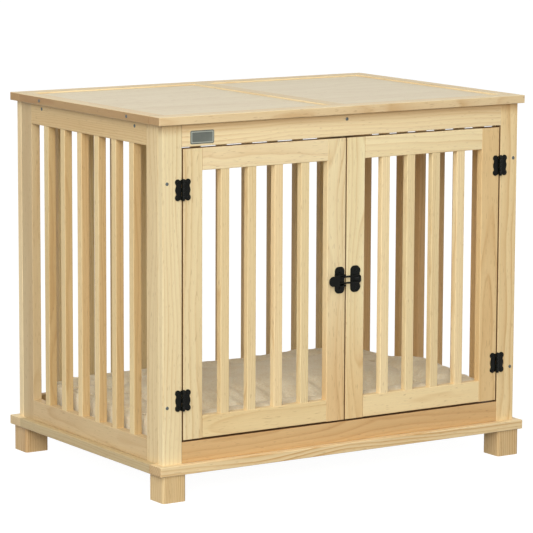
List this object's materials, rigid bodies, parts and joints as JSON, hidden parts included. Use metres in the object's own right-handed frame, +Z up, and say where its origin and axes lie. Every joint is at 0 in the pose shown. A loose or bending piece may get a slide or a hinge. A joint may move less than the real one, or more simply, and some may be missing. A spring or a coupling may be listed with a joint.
{
  "type": "dog crate",
  "caption": "Wooden dog crate as furniture: slatted walls, a pair of slatted doors with a wire-loop draw latch, framed panel top and base, square feet and a floor cushion.",
  "frame": {"origin": "middle of the footprint, on the floor under the feet", "axes": "+X to the right along the front, -Y out of the front where the doors are, +Z up"},
  "size_m": [0.804, 0.558, 0.686],
  "materials": {
    "pine": "satin",
    "pine_warm": "satin",
    "plywood": "satin",
    "black_metal": "satin",
    "bare_metal": "satin",
    "cushion_cloth": "matte"
  },
  "bodies": {
    "crate": {"top_front_board": "pine", "top_back_board": "pine", "top_left_board": "pine", "top_right_board": "pine", "top_middle_rail": "pine", "top_panel_left": "plywood", "top_panel_right": "plywood", "top_cleats": "pine", "front_left_stile": "pine", "front_right_stile": "pine", "front_top_rail": "pine", "front_bottom_rail": "pine_warm", "door_stop": "pine", "back_left_stile": "pine", "back_right_stile": "pine", "back_top_rail": "pine", "back_bottom_rail": "pine_warm", "back_slats": "pine", "left_front_stile": "pine", "left_back_stile": "pine", "left_top_rail": "pine", "left_bottom_rail": "pine_warm", "left_slats": "pine", "right_front_stile": "pine", "right_back_stile": "pine", "right_top_rail": "pine", "right_bottom_rail": "pine_warm", "right_slats": "pine", "base_front_board": "pine", "base_back_board": "pine", "base_left_board": "pine", "base_right_board": "pine", "base_middle_rail": "pine", "floor_panel_left": "plywood", "floor_panel_right": "plywood", "feet": "pine", "hinge_frame_leaves": "black_metal", "hinge_pins": "black_metal", "hinge_screws": "black_metal", "frame_screws": "bare_metal", "badge_plate": "bare_metal", "cushion": "cushion_cloth"},
    "left_door": {"left_door_hinge_stile": "pine", "left_door_latch_stile": "pine", "left_door_top_rail": "pine", "left_door_bottom_rail": "pine", "left_door_slats": "pine", "left_door_hinge_leaves": "black_metal", "latch_base": "black_metal", "left_door_screws": "black_metal"},
    "right_door": {"right_door_hinge_stile": "pine", "right_door_catch_stile": "pine", "right_door_top_rail": "pine", "right_door_bottom_rail": "pine", "right_door_slats": "pine", "right_door_hinge_leaves": "black_metal", "latch_catch": "black_metal", "right_door_screws": "black_metal"},
    "latch_lever": {"latch_lever": "black_metal"},
    "latch_loop": {"latch_loop": "black_metal"}
  },
  "joints": [
    {"name": "left_door_swing", "type": "hinge", "parent": "crate", "child": "left_door", "pos_m": [-0.3482, -0.2677, 0.36815], "axis": [0, 0, -1], "range_deg": [0, 180]},
    {"name": "right_door_swing", "type": "hinge", "parent": "crate", "child": "right_door", "pos_m": [0.3482, -0.2677, 0.36815], "axis": [0, 0, 1], "range_deg": [0, 180]},
    {"name": "latch_lever_turn", "type": "hinge", "parent": "left_door", "child": "latch_lever", "pos_m": [-0.008, -0.2723, 0.36815], "axis": [0, 0, 1], "range_deg": [0, 110]},
    {"name": "latch_loop_turn", "type": "hinge", "parent": "latch_lever", "child": "latch_loop", "pos_m": [-0.016, -0.2686, 0.36815], "axis": [0, 0, 1], "range_deg": [-110, 0]}
  ],
  "couplings": [
    {"joint": "latch_loop_turn", "follows": "latch_lever_turn", "ratio": -1}
  ]
}
